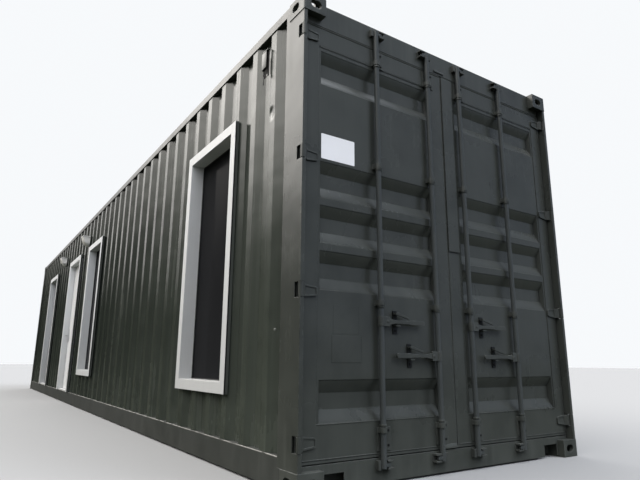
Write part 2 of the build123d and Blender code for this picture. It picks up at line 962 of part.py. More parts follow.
def hinge_blade(centre):
    """Forged blade: knuckle on the pin, arm over the post edge and a narrowing foot with two edge ribs."""
    arm_front = pin_x - blade_back
    arm_back = arm_front - blade_thickness
    foot_front = door_face + blade_thickness
    start = -pin_y
    bend = -leaf_outer_y + blade_bend
    foot_end = -leaf_outer_y + blade_reach
    plan = [
        (arm_back, start),
        (arm_front, start),
        (arm_front, -leaf_outer_y - blade_thickness / 2),
        (foot_front, bend),
        (foot_front, foot_end),
        (door_face, foot_end),
        (door_face, -leaf_outer_y),
        (arm_back, -leaf_outer_y - blade_thickness),
    ]
    half = knuckle_height / 2
    tip = blade_tip_height / 2
    blade = upright(plan, centre - half, centre + half)
    blade &= along_x(tongue((start, foot_end), centre, (half, tip)), door_face, arm_front)
    blade = fillet(blade.edges().filter_by(Axis.X).sort_by(Axis.Y)[-2:], blade_corner)
    pocket = tongue((bend, foot_end - blade_rib), centre, (half - 2 * blade_rib, tip - blade_rib))
    blade -= along_x(pocket, foot_front - blade_pocket, foot_front)
    blade += Pos(pin_x, -pin_y, centre) * Cylinder(knuckle_radius, knuckle_height)
    return blade - Pos(pin_x, -pin_y, centre) * Cylinder(pin_radius + hinge_play, knuckle_height)


def rod_bracket(y, base, flange, plate_z, ring_z):
    """Plate behind a lock rod on a face at base, bolted at +Y, with a ring that holds the rod."""
    hole = rod_radius + bracket_play
    outer = hole + bracket_strap
    middle = Pos(rod_x, y, sum(ring_z) / 2)
    depth = ring_z[1] - ring_z[0]
    bracket = middle * Cylinder(outer, depth)
    bracket += box((base, rod_x), (y - outer, y + outer), ring_z)
    bracket += box((base, base + bracket_strap), (y - bracket_heel, y + flange), plate_z)
    return bracket - middle * Cylinder(hole, depth)


def rod_brackets(y):
    """Tall brackets on the top and bottom members and low ones on the panel between."""
    low = leaf_bottom + foot_bracket_margin
    low_end = low + foot_bracket_height
    high = leaf_top - head_bracket_margin
    high_end = high - head_bracket_height
    half = bracket_height / 2
    brackets = [
        rod_bracket(y, door_face, bracket_flange, (low, low_end), (low_end - bracket_ring, low_end)),
        rod_bracket(y, door_face, bracket_flange, (high_end, high), (high_end, high_end + bracket_ring)),
    ]
    for centre in bracket_heights:
        levels = (centre - half, centre + half)
        brackets.append(rod_bracket(y, panel_face, bracket_short_flange, levels, levels))
    return brackets


def handle_catch(rod):
    """Upright plate with a ledge below the handle, and an arm above it with a sloping pawl at its tip."""
    y = rod.y + rod.way * rod.catch
    half = catch_width / 2
    reach = rod_x + handle_thickness / 2
    across = (y - half, y + half)
    levels = (rod.level - catch_height / 2, rod.level + catch_height / 2)
    catch = box((panel_face, panel_face + plate), across, levels)
    under = rod.level - handle_grip / 2 - swing_gap
    catch += box((panel_face, reach), across, (under - catch_ledge, under))
    low = rod.level + handle_grip / 2 + swing_gap
    arm = (low + pawl_rise - pawl_depth, low + pawl_rise)
    catch += box((panel_face, reach), (y - half, y), arm)
    pawl = [
        (y - half, low + pawl_rise - pawl_depth),
        (y + pawl_reach, low),
        (y + pawl_reach, low + pawl_depth),
        (y + half / 2, low + pawl_rise),
        (y - half, low + pawl_rise),
    ]
    return catch + along_x(pawl, reach - pawl_thickness, reach)


def cam_end(rod, low):
    """Forged end of a lock rod, with the nose of its cam."""
    end = Pos(rod_x, rod.y, low + cam_length / 2) * Cylinder(rod_radius, cam_length)
    centre = min(cam_levels, key=lambda level: abs(level - low - cam_length / 2))
    tip = rod.y + rod.way * cam_nose
    nose = [
        (rod_x - cam_root_width / 2, rod.y),
        (rod_x + cam_root_width / 2, rod.y),
        (rod_x + cam_tip_width / 2, tip),
        (rod_x - cam_tip_width / 2, tip),
    ]
    return end + upright(nose, centre - cam_thickness / 2, centre + cam_thickness / 2)


def lock_rod(rod):
    """Tube between two forged cam ends."""
    low = rod_low_end + cam_length + joint_gap
    high = rod_top - cam_length - joint_gap
    tube = Pos(rod_x, rod.y, (low + high) / 2) * Cylinder(rod_radius, high - low)
    return tube, cam_end(rod, rod_low_end), cam_end(rod, rod_top - cam_length)


def lock_handle(rod):
    """Collar round the rod with a lug, and a flat bar that narrows and then widens to a round grip."""
    y, way, z = rod.y, rod.way, rod.level
    lug = (rod_x - hub_thickness / 2, rod_x + hub_thickness / 2)
    handle = Pos(rod_x, y, z) * Cylinder(hub_radius, hub_height)
    handle += box(lug, (y, y + way * hub_reach), (z - hub_height / 2, z + hub_height / 2))
    handle -= Pos(rod_x, y, z) * Cylinder(rod_radius, hub_height)
    root = handle_root / 2
    neck = handle_neck / 2
    grip = handle_grip / 2
    round_centre = handle_length - grip
    stations = (
        (hub_reach, root),
        (handle_taper, neck),
        (handle_shoulder, neck),
        (handle_swell, grip),
        (round_centre, grip),
    )
    upper = [(y + way * reach, z + half) for reach, half in stations]
    lower = [(y + way * reach, z - half) for reach, half in reversed(stations)]
    handle += along_x(upper + lower, rod_x - handle_thickness / 2, rod_x + handle_thickness / 2)
    return handle + Pos(rod_x, y + way * round_centre, z) * Rot(0, 90, 0) * Cylinder(grip, handle_thickness)


def cam_keeper(rod, centre):
    """Two plates on the end frame, above and below the nose of a cam, on a back plate."""
    inside = cam_thickness / 2 + swing_gap
    outside = inside + keeper_plate
    y0 = rod.y + rod.way * (rod_radius + swing_gap)
    y1 = y0 + rod.way * keeper_width
    back = (end_frame_face, end_frame_face + keeper_back)
    keeper = box(back, (y0, y1), (centre - outside, centre + outside))
    for side in (-1, 1):
        cheek = (centre + side * inside, centre + side * outside)
        keeper += box((end_frame_face, end_frame_face + keeper_reach), (y0, y1), cheek)
    return keeper


def keeper_guard(rod, centre):
    """Lug on the end frame, at the far side of a rod from its keeper."""
    y0 = rod.y - rod.way * (rod_radius + swing_gap)
    y1 = y0 - rod.way * guard_width
    levels = (centre - guard_height / 2, centre + guard_height / 2)
    return box((end_frame_face, end_frame_face + guard_reach), (y0, y1), levels)


Rod = namedtuple("Rod", "y way level catch")


def leaf_rods(places):
    """The two rods of a leaf, from -Y to +Y: the first has the upper handle, turned to +Y."""
    first, second = places
    return [Rod(first, 1, handle_high, catch_near), Rod(second, -1, handle_low, catch_far)]


def save_leaf(side_name, flip, rods):
    """All nodes that swing with one leaf, save its rods."""
    save(f"cargo_door_{side_name}_frame", flip(leaf_frame()))
    save(f"cargo_door_{side_name}_panel", flip(leaf_panel()))
    save(f"cargo_door_{side_name}_gasket", flip(leaf_gasket()))
    save(f"cargo_door_{side_name}_hinge_blades", *[flip(hinge_blade(z)) for z in hinge_heights])
    brackets = [bracket for rod in rods for bracket in rod_brackets(rod.y)]
    save(f"cargo_door_{side_name}_rod_fittings", *brackets, *[handle_catch(rod) for rod in rods])


def save_rods(rods):
    """Rods with their handles, numbered from -Y to +Y, and the keepers of their cams."""
    for number, rod in enumerate(rods, start=1):
        save(f"lock_rod_{number}", *lock_rod(rod))
        save(f"lock_handle_{number}", lock_handle(rod))
    places = [(rod, centre) for rod in rods for centre in cam_levels]
    keepers = [cam_keeper(*place) for place in places]
    save("cam_keepers", *keepers, *[keeper_guard(*place) for place in places])


left_rods = leaf_rods((-rod_outer, -rod_inner))
right_rods = leaf_rods((rod_inner, rod_outer))
save_leaf("left", lambda shape: shape, left_rods)
save_leaf("right", other_side, right_rods)
save_rods(left_rods + right_rods)


def cover_strip():
    """Strip on the right leaf that laps the gap between the leaves."""
    across = (strip_start, strip_start + strip_width)
    return box((door_face, door_face + strip_thickness), across, (strip_bottom, leaf_top))


save("centre_cover_strip", cover_strip())
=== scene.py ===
"""Shipping container cabin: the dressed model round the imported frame.

Metres. Origin at the bottom centre, +X to the cargo doors, -Y the side with the windows, +Z up.
"""

import math

import bpy
from mathutils import Matrix, Vector


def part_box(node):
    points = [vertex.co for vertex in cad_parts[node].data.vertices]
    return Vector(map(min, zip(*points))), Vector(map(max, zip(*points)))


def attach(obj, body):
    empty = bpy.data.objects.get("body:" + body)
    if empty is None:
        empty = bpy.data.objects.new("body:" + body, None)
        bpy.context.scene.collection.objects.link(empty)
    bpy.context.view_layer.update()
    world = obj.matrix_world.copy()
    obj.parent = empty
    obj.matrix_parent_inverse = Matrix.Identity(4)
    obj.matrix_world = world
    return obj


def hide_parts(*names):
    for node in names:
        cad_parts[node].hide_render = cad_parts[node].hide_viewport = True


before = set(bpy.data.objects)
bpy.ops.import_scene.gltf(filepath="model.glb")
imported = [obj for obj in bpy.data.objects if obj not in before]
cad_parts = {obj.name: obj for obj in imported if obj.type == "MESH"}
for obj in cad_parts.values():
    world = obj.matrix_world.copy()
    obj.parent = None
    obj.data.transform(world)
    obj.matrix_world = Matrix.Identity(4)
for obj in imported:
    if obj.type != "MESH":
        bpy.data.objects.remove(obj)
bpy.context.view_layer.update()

bpy.ops.object.select_all(action="DESELECT")


# Camera
# Its place, its three directions and its focal length are those of the photo, fitted to the castings, rails,
# rods and hinges. It looks up from low down, near the corner between the windows and the cargo doors.

eye = Vector((8.498, -2.689, 0.668))
to_right = Vector((0.55491, 0.83188, 0.00686))
to_ground = Vector((-0.18347, 0.13042, -0.97433))
ahead = Vector((-0.81142, 0.53941, 0.22500))
focal_length_px = 526.41
picture_width_px = 640

camera_data = bpy.data.cameras.new("camera")
camera_data.sensor_width = 36
camera_data.lens = focal_length_px * camera_data.sensor_width / picture_width_px
camera_data.clip_end = 200
camera = bpy.data.objects.new("camera", camera_data)
bpy.context.scene.collection.objects.link(camera)
columns = [to_right.normalized(), -to_ground.normalized(), -ahead.normalized()]
camera.matrix_world = Matrix.Translation(eye) @ Matrix(columns).transposed().to_4x4()
bpy.context.scene.camera = camera
bpy.context.scene.view_settings.view_transform = "Standard"


# Floor
# A plain studio floor that the camera sees pale. To every other ray it is dark, as the ground under the trees
# is in the photo, so that the low parts of the paint mirror something dark.


def joined(tree, kind, settings=(), **plugs):
    """A new shader node, with its settings made and its inputs set or linked."""
    node = tree.nodes.new(kind)
    for key, value in dict(settings).items():
        setattr(node, key, value)
    for key, value in plugs.items():
        place = int(key[1:]) if key[0] == "n" and key[1:].isdigit() else key.replace("_", " ")
        if isinstance(value, bpy.types.NodeSocket):
            tree.links.new(value, node.inputs[place])
        else:
            node.inputs[place].default_value = value
    return node


def blended(tree, share, first, second):
    """Colour between two colours."""
    return joined(tree, "ShaderNodeMix", {"data_type": "RGBA"}, n0=share, n6=first, n7=second).outputs[2]


def bare_finish(name):
    """A new material, with its node tree and its shader."""
    finish = bpy.data.materials.new(name)
    finish.use_nodes = True
    return finish, finish.node_tree, finish.node_tree.nodes["Principled BSDF"]


bpy.ops.mesh.primitive_plane_add(size=160, location=(0, 0, 0))
floor = bpy.context.active_object
floor.name = "studio_floor"
floor_finish, floor_tree, floor_shader = bare_finish("pale floor")
floor_shader.inputs["Roughness"].default_value = 0.9
floor_shader.inputs["Specular IOR Level"].default_value = 0.0
floor_seen = floor_tree.nodes.new("ShaderNodeLightPath").outputs["Is Camera Ray"]
floor_colour = blended(floor_tree, floor_seen, (0.029, 0.032, 0.023, 1), (0.27, 0.27, 0.27, 1))
floor_tree.links.new(floor_colour, floor_shader.inputs["Base Color"])
floor.data.materials.append(floor_finish)


# Sky and lamps
# The paint mirrors a soft sky, bright high over the window side, and the camera sees a pale backdrop instead.
# A broad lamp over the far corner lights the doors, and a weak one reaches into the window reveals.


def leaning(tree, direction, towards):
    """How far one direction leans towards another."""
    settings = {"operation": "DOT_PRODUCT"}
    return joined(tree, "ShaderNodeVectorMath", settings, n0=direction, n1=towards).outputs["Value"]


def ranged(tree, value, low, high, start=0.0, end=1.0, way="LINEAR"):
    """A value carried from one range to another and held at its ends."""
    settings = {"interpolation_type": way, "clamp": True}
    plugs = {"n0": value, "n1": low, "n2": high, "n3": start, "n4": end}
    return joined(tree, "ShaderNodeMapRange", settings, **plugs).outputs[0]


world = bpy.data.worlds.new("soft sky")
bpy.context.scene.world = world
world.use_nodes = True
sky = world.node_tree
gaze = sky.nodes.new("ShaderNodeTexCoord").outputs["Generated"]
risen = ranged(sky, leaning(sky, gaze, (-0.19, -0.27, 0.95)), 0.49, 0.74, way="SMOOTHSTEP")
glow = ranged(sky, leaning(sky, gaze, (-0.92, -0.19, 0.345)), 0.965, 0.995, way="SMOOTHSTEP")
coolness = ranged(sky, leaning(sky, gaze, (0.6, 0.5, 0.0)), -0.5, 0.4)
low_tone = blended(sky, coolness, (0.035, 0.041, 0.028, 1), (0.19, 0.226, 0.31, 1))
low_tone = blended(sky, glow, low_tone, (1.35, 1.32, 1.29, 1))
high_tone = blended(sky, coolness, (4.3, 4.15, 3.95, 1), (3.5, 3.7, 4.0, 1))
sky_light = sky.nodes["Background"]
sky.links.new(blended(sky, risen, low_tone, high_tone), sky_light.inputs["Color"])
sky_light.inputs["Strength"].default_value = 1.0
backdrop = joined(sky, "ShaderNodeBackground", Color=(0.93, 0.95, 0.97, 1), Strength=1.0)
sky_seen = sky.nodes.new("ShaderNodeLightPath").outputs["Is Camera Ray"]
chosen = joined(sky, "ShaderNodeMixShader", n0=sky_seen, n1=sky_light.outputs[0], n2=backdrop.outputs[0])
sky.links.new(chosen.outputs[0], sky.nodes["World Output"].inputs["Surface"])

for name, power, spread, colour, heading in (
    ("broad_lamp", 2.2, 36, (0.94, 0.98, 1.07), (-0.62, -0.50, -0.60)),
    ("weak_lamp", 0.62, 60, (0.99, 0.99, 0.99), (-0.85, 0.45, -0.30)),
):
    lamp_data = bpy.data.lights.new(name, "SUN")
    lamp_data.energy = power
    lamp_data.angle = math.radians(spread)
    lamp_data.color = colour
    lamp = bpy.data.objects.new(name, lamp_data)
    lamp.rotation_euler = Vector(heading).to_track_quat("-Z", "Y").to_euler()
    lamp.visible_glossy = False
    bpy.context.scene.collection.objects.link(lamp)


# Steelwork and its paint
# Weathering steel rolled, folded and welded, then sprayed with one dark greenish grey satin paint. The film
# has a fine peel, is worn lighter along its edges, and carries dust on what faces up and faint runs on walls.


def arithmetic(tree, operation, first, second):
    """Result of a sum on two values, held between 0 and 1."""
    settings = {"operation": operation, "use_clamp": True}
    return joined(tree, "ShaderNodeMath", settings, n0=first, n1=second).outputs[0]


def product(tree, first, *others):
    """Product of several values, held between 0 and 1."""
    for other in others:
        first = arithmetic(tree, "MULTIPLY", first, other)
    return first


def own_place(tree):
    """The place of a point in the coordinates of its object."""
    return tree.nodes.new("ShaderNodeTexCoord").outputs["Object"]


def axis_of(tree, where, axis):
    """One axis of a place or of a direction."""
    return joined(tree, "ShaderNodeSeparateXYZ", Vector=where).outputs[axis]


def speckle(tree, where, stretch, detail, low, high):
    """Soft patches from 0 to 1, stretched by three scales."""
    spread = joined(tree, "ShaderNodeMapping", Vector=where, Scale=stretch)
    noise = joined(tree, "ShaderNodeTexNoise", Vector=spread.outputs[0], Scale=1.0, Detail=detail)
    return ranged(tree, noise.outputs[0], low, high)


film = bpy.data.node_groups.new("weathered film", "ShaderNodeTree")
for name, kind, value in (
    ("Colour", "NodeSocketColor", (0.0165, 0.0185, 0.017, 1)),
    ("Worn Colour", "NodeSocketColor", (0.2, 0.21, 0.21, 1)),
    ("Dust Colour", "NodeSocketColor", (0.13, 0.138, 0.122, 1)),
    ("Wear", "NodeSocketFloat", 0.5),
    ("Dust", "NodeSocketFloat", 0.3),
    ("Runs", "NodeSocketFloat", 0.2),
    ("Edge Radius", "NodeSocketFloat", 0.003),
    ("Base Roughness", "NodeSocketFloat", 0.24),
    ("Peel", "NodeSocketFloat", 0.3),
):
    film.interface.new_socket(name, in_out="INPUT", socket_type=kind).default_value = value
for name, kind in (
    ("Colour", "NodeSocketColor"),
    ("Roughness", "NodeSocketFloat"),
    ("Normal", "NodeSocketVector"),
):
    film.interface.new_socket(name, in_out="OUTPUT", socket_type=kind)
given = film.nodes.new("NodeGroupInput").outputs
film_out = film.nodes.new("NodeGroupOutput")
place = own_place(film)
normal = film.nodes.new("ShaderNodeNewGeometry").outputs["Normal"]

# Wear: chips where the rounded normal leaves the true one, which is along the edges.
rounded = joined(film, "ShaderNodeBevel", {"samples": 4}, Radius=given["Edge Radius"]).outputs[0]
corner = product(film, arithmetic(film, "SUBTRACT", 1.0, leaning(film, rounded, normal)), 3.5)
chips = speckle(film, place, (45.0, 45.0, 45.0), detail=6.0, low=0.46, high=0.6)
worn = product(film, corner, chips, given["Wear"])

# Dirt: runs down the walls, dust on what faces up, and splashes on the lowest 0.6 m.
clouds = speckle(film, place, (0.9, 0.9, 1.3), detail=5.0, low=0.3, high=0.7)
mottle = speckle(film, place, (7.0, 7.0, 5.0), detail=6.0, low=0.3, high=0.7)
streaks = speckle(film, place, (26.0, 26.0, 0.7), detail=4.0, low=0.5, high=0.75)
runs = product(film, streaks, clouds, given["Runs"])
upward = product(film, arithmetic(film, "SUBTRACT", axis_of(film, normal, "Z"), 0.35), 1.6)
settled = product(film, upward, mottle, given["Dust"])
low_down = arithmetic(film, "SUBTRACT", 1.0, product(film, axis_of(film, place, "Z"), 1.7))
splashed = product(film, low_down, mottle, given["Dust"], 0.6)

# The paint is lighter towards the door end, in soft patches.
doorward = ranged(film, axis_of(film, place, "X"), 1.0, 5.6, start=0.012, end=0.22)
patchy = product(film, arithmetic(film, "ADD", clouds, mottle), 0.4)
lightened_doorward = product(film, arithmetic(film, "ADD", patchy, 0.6), doorward)

coloured = blended(film, lightened_doorward, given["Colour"], given["Dust Colour"])
coloured = blended(film, runs, coloured, given["Dust Colour"])
coloured = blended(film, arithmetic(film, "MAXIMUM", settled, splashed), coloured, given["Dust Colour"])
coloured = blended(film, worn, coloured, given["Worn Colour"])
film.links.new(coloured, film_out.inputs["Colour"])

soiled = arithmetic(film, "ADD", arithmetic(film, "ADD", settled, splashed), runs)
dulled = arithmetic(film, "ADD", product(film, soiled, 0.5), product(film, clouds, 0.1))
film.links.new(arithmetic(film, "ADD", given["Base Roughness"], dulled), film_out.inputs["Roughness"])

# Bumps: the fine peel of the film, and slow waves under it.
bumps = rounded
for scale, depth in ((260.0, 0.0004), (3.2, 0.02)):
    swell = joined(film, "ShaderNodeTexNoise", Vector=place, Scale=scale, Detail=2.0).outputs[0]
    plugs = {"Strength": given["Peel"], "Distance": depth, "Height": swell, "Normal": bumps}
    bumps = joined(film, "ShaderNodeBump", **plugs).outputs[0]
film.links.new(bumps, film_out.inputs["Normal"])


def sprayed(name, **values):
    """A material of the weathered film, with its own values."""
    finish, tree, shader = bare_finish(name)
    coat = tree.nodes.new("ShaderNodeGroup")
    coat.node_tree = film
    for key, value in values.items():
        coat.inputs[key.replace("_", " ")].default_value = value
    tree.links.new(coat.outputs["Colour"], shader.inputs["Base Color"])
    tree.links.new(coat.outputs["Roughness"], shader.inputs["Roughness"])
    tree.links.new(coat.outputs["Normal"], shader.inputs["Normal"])
    return finish


def dress(finish, *nodes):
    """Gives CAD nodes their finish."""
    for name in nodes:
        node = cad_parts[name]
        if not node.material_slots:
            node.data.materials.append(finish)
        for holder in node.material_slots:
            holder.material = finish


steel_paint = sprayed("container paint", Edge_Radius=0.004)
cast_paint = sprayed("paint on cast steel", Edge_Radius=0.006, Peel=0.8, Wear=0.8, Dust=0.5)
dress(steel_paint, "door_end_posts", "blind_end_posts", "top_rails", "door_header", "door_sill")
dress(cast_paint, "corner_castings")


# Bottom rails and cross members
# Folded channels that carry the floor, welded between the castings. The outer top edge of the long ones is
# chipped to a thin bright line.


def parts_of(finish):
    """Tree, shader and film node of a sprayed material."""
    tree = finish.node_tree
    return tree, tree.nodes["Principled BSDF"], next(node for node in tree.nodes if node.type == "GROUP")


rail_paint = sprayed(
    "paint on bottom rails",
    Colour=(0.011, 0.013, 0.0112, 1),
    Dust_Colour=(0.075, 0.08, 0.07, 1),
    Edge_Radius=0.004,
    Dust=0.25,
    Wear=1.0,
    Base_Roughness=0.55,
)
rail_top = 0.174
rail_tree, rail_shader, rail_coat = parts_of(rail_paint)
rail_place = own_place(rail_tree)
chips_start, chips_full = rail_top - 0.0065, rail_top - 0.00195
near_top = ranged(rail_tree, axis_of(rail_tree, rail_place, "Z"), chips_start, chips_full)
off_middle = axis_of(rail_tree, rail_place, "Y")
off_middle = joined(rail_tree, "ShaderNodeMath", {"operation": "ABSOLUTE"}, n0=off_middle).outputs[0]
edge_start, edge_full = 1.2105, 1.2125
near_edge = ranged(rail_tree, off_middle, edge_start, edge_full)
rail_chips = speckle(rail_tree, rail_place, (9.0, 9.0, 60.0), detail=8.0, low=0.38, high=0.5)
chipped = product(rail_tree, near_top, near_edge, rail_chips)
bright_line = blended(rail_tree, chipped, rail_coat.outputs["Colour"], (0.33, 0.32, 0.3, 1))
rail_tree.links.new(bright_line, rail_shader.inputs["Base Color"])
dress(rail_paint, "bottom_rails")
under_paint = sprayed(
    "dull underside paint",
    Colour=(0.035, 0.035, 0.033, 1),
    Base_Roughness=0.65,
    Dust=0.8,
    Runs=0.4,
)
dress(under_paint, "cross_members")


# Corrugated sheets
# Two-millimetre sheet pressed into deep waves and welded into the frame: the sides, the blind end and the
# roof. The bends are rounded, and the side shows a few old dents.

sheet_paint = sprayed(
    "paint on corrugated sheet",
    Colour=(0.0161, 0.0195, 0.0163, 1),
    Dust_Colour=(0.127, 0.142, 0.117, 1),
    Edge_Radius=0.010,
    Runs=0.25,
    Dust=0.35,
    Wear=0.12,
    Base_Roughness=0.17,
)
sheet_tree, sheet_shader, sheet_coat = parts_of(sheet_paint)
sheet_place = own_place(sheet_tree)
dent_reach = 1 / 16
dent_places = ((5.689, -1.205, 2.241), (5.831, -1.205, 0.847), (3.62, -1.205, 0.72))
hollow = 0.0
for centre in dent_places:
    settings = {"operation": "DISTANCE"}
    away = joined(sheet_tree, "ShaderNodeVectorMath", settings, n0=sheet_place, n1=centre).outputs["Value"]
    hollow = arithmetic(sheet_tree, "MAXIMUM", hollow, ranged(sheet_tree, away, dent_reach, 0.0))
height = ranged(sheet_tree, hollow, 0.0, 1.0, start=1.0, end=0.0, way="SMOOTHSTEP")
plugs = {"Strength": 1.0, "Distance": 0.012, "Height": height, "Normal": sheet_coat.outputs["Normal"]}
pressed_in = joined(sheet_tree, "ShaderNodeBump", **plugs)
sheet_tree.links.new(pressed_in.outputs[0], sheet_shader.inputs["Normal"])
dress(sheet_paint, "back_wall", "blind_end_wall", "side_wall_bays", "side_wall_infills")
roof_paint = sprayed("paint on roof sheet", Edge_Radius=0.006, Runs=0.1, Dust=0.9, Base_Roughness=0.5)
dress(roof_paint, "roof_panel")


# Floor deck
# Plywood boards laid across the cross members and screwed down. They are oiled, and scuffed by feet and
# loads, with a dark joint where two sheets meet.

plywood, ply_tree, ply_shader = bare_finish("plywood deck")
ply_place = own_place(ply_tree)
grain = speckle(ply_tree, ply_place, (3.0, 70.0, 70.0), detail=6.0, low=0.3, high=0.7)
scuffs = speckle(ply_tree, ply_place, (4.0, 4.0, 4.0), detail=6.0, low=0.45, high=0.7)
half_joint = 0.0025
joints = []
for axis, board in (("X", 2.44), ("Y", 1.167)):
    along = axis_of(ply_tree, ply_place, axis)
    phase = joined(ply_tree, "ShaderNodeMath", {"operation": "PINGPONG"}, n0=along, n1=board / 2).outputs[0]
    joint = joined(ply_tree, "ShaderNodeMath", {"operation": "LESS_THAN"}, n0=phase, n1=half_joint)
    joints.append(joint.outputs[0])
wood = blended(ply_tree, grain, (0.30, 0.19, 0.1, 1), (0.2, 0.12, 0.06, 1))
wood = blended(ply_tree, product(ply_tree, scuffs, 0.4), wood, (0.36, 0.31, 0.25, 1))
wood = blended(ply_tree, arithmetic(ply_tree, "MAXIMUM", *joints), wood, (0.03, 0.02, 0.015, 1))
ply_tree.links.new(wood, ply_shader.inputs["Base Color"])
scuffed = arithmetic(ply_tree, "ADD", 0.5, product(ply_tree, scuffs, 0.3))
ply_tree.links.new(scuffed, ply_shader.inputs["Roughness"])
ply_bump = joined(ply_tree, "ShaderNodeBump", Strength=0.3, Distance=0.001, Height=grain)
ply_tree.links.new(ply_bump.outputs[0], ply_shader.inputs["Normal"])
dress(plywood, "floor_deck")


# White window and door surrounds
# Folded sheet trims, sprayed white and fixed on: a casing on the crests of the wall and a board through it.
# They grow darker towards their feet.

trim_paint = sprayed(
    "white trim paint",
    Colour=(0.72, 0.73, 0.745, 1),
    Worn_Colour=(0.45, 0.46, 0.47, 1),
    Dust_Colour=(0.42, 0.40, 0.36, 1),
    Wear=0.35,
    Dust=0.3,
    Runs=0.25,
    Edge_Radius=0.003,
    Base_Roughness=0.4,
    Peel=0.15,
)
trim_tree, trim_shader, trim_coat = parts_of(trim_paint)
# The colour grows darker towards the feet of the trims.
darker_low_down = ranged(trim_tree, axis_of(trim_tree, own_place(trim_tree), "Z"), 0.3, 2.2, start=0.7, end=0.0)
trim_colour = blended(trim_tree, darker_low_down, trim_coat.outputs["Colour"], (0.40, 0.40, 0.39, 1))
trim_tree.links.new(trim_colour, trim_shader.inputs["Base Color"])
dress(trim_paint, "window_surrounds", "doorway_surround", "thresholds")


# Window glass and its seals
# Dark tinted panes, bedded on a thin black bead at the inner end of each surround. Outside, a painted steel
# angle and a run of black sealant close the gap between each casing and the hollows of the wall. The black
# run is painted shade, standing in for the shadow along the outer side of each casing. The angle is painted
# lighter than the wall, as painted light on its shaded face.

glass, glass_tree, glass_shader = bare_finish("dark glass")
glass_shader.inputs["IOR"].default_value = 1.05
smears = speckle(glass_tree, own_place(glass_tree), (5.0, 5.0, 2.0), detail=5.0, low=0.35, high=0.75)
glass_tone = product(glass_tree, smears, 0.5)
glass_tone = blended(glass_tree, glass_tone, (0.014, 0.0143, 0.0155, 1), (0.021, 0.0213, 0.0225, 1))
glass_tree.links.new(glass_tone, glass_shader.inputs["Base Color"])
haze = arithmetic(glass_tree, "ADD", 0.06, product(glass_tree, smears, 0.12))
glass_tree.links.new(haze, glass_shader.inputs["Roughness"])
dress(glass, "window_panes")


def dull_black(name, darkest, palest):
    """A matt black material with a pale bloom in soft patches."""
    finish, tree, shader = bare_finish(name)
    where = own_place(tree)
    bloom = product(tree, speckle(tree, where, (14.0, 14.0, 6.0), detail=5.0, low=0.35, high=0.7), 0.5)
    tree.links.new(blended(tree, bloom, darkest, palest), shader.inputs["Base Color"])
    dulled = arithmetic(tree, "ADD", 0.55, product(tree, bloom, 0.5))
    tree.links.new(dulled, shader.inputs["Roughness"])
    pores = joined(tree, "ShaderNodeTexNoise", Vector=where, Scale=500.0, Detail=2.0).outputs[0]
    grained = joined(tree, "ShaderNodeBump", Strength=0.25, Distance=0.0005, Height=pores)
    tree.links.new(grained.outputs[0], shader.inputs["Normal"])
    return finish


def settle(piece, name, finish, body):
    """Puts a finished piece's place into its mesh, and names, paints and hangs it."""
    bpy.ops.object.select_all(action="DESELECT")
    piece.select_set(True)
    bpy.context.view_layer.objects.active = piece
    bpy.ops.object.transform_apply(location=True, rotation=True, scale=True)
    piece.name = name
    piece.data.name = name
    piece.data.materials.clear()
    piece.data.materials.append(finish)
    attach(piece, body)
    bpy.ops.object.select_all(action="DESELECT")


def soften(piece, width, segments, least_angle):
    """Rounds the edges of the active piece that are sharper than an angle."""
    rounding = piece.modifiers.new("rounded", "BEVEL")
    rounding.width = width
    rounding.segments = segments
    rounding.limit_method = "ANGLE"
    rounding.angle_limit = math.radians(least_angle)
    bpy.ops.object.modifier_apply(modifier=rounding.name)


def bevelled_block(low, high, edge, segments=2):
    """A cube set between two corners, with its edges rounded."""
    middle = [(a + b) / 2 for a, b in zip(low, high)]
    bpy.ops.object.select_all(action="DESELECT")
    bpy.ops.mesh.primitive_cube_add(size=1, location=middle)
    block = bpy.context.active_object
    block.scale = [b - a for a, b in zip(low, high)]
    bpy.ops.object.transform_apply(location=False, rotation=False, scale=True)
    soften(block, edge, segments, least_angle=30)
    bpy.ops.object.shade_smooth_by_angle(angle=math.radians(35))
    return block


def together(pieces):
    """Several pieces as one mesh."""
    bpy.ops.object.select_all(action="DESELECT")
    for piece in pieces:
        piece.select_set(True)
    bpy.context.view_layer.objects.active = pieces[0]
    bpy.ops.object.join()
    return bpy.context.active_object


rubber = dull_black("black rubber", (0.012, 0.012, 0.012, 1), (0.05, 0.05, 0.048, 1))
# The black sealant also serves as painted shade beside the window casings.
sealant_and_shade = dull_black("black sealant", (0.004, 0.004, 0.004, 1), (0.012, 0.012, 0.012, 1))
# Painted light: the angles' paint is lighter than the wall's, to stand in for light on their shaded faces.
lit_angle_paint = sprayed("lightened paint on casing angles", Colour=(0.06, 0.066, 0.06, 1), Edge_Radius=0.002)

bead = 0.008
pane_face = -1.127
pane_head = 2.305
pane_places = ((4.72, 0.4, 0.53), (0.295, 0.4, 0.53), (-3.9, 0.45, 0.194))
for number, (middle, reach, foot) in enumerate(pane_places, start=1):
    left, right = middle - reach, middle + reach
    sides = [
        ((left, foot), (left + bead, pane_head)),
        ((right - bead, foot), (right, pane_head)),
        ((left + bead, pane_head - bead), (right - bead, pane_head)),
        ((left + bead, foot), (right - bead, foot + bead)),
    ]
    strips = [
        bevelled_block((a[0], pane_face - bead, a[1]), (b[0], pane_face, b[1]), edge=0.002)
        for a, b in sides
    ]
    settle(together(strips), f"glazing_bead_{number}", rubber, "shell")

crest_plane = -1.2092
shade_strip_back = -1.2270
casing_plane = -1.2375
casing_head = 2.38
strip_width = 0.0015
casing_places = ((4.72, 0.475, 0.455), (0.295, 0.475, 0.455), (-1.38, 0.525, 0.168), (-3.9, 0.525, 0.168))
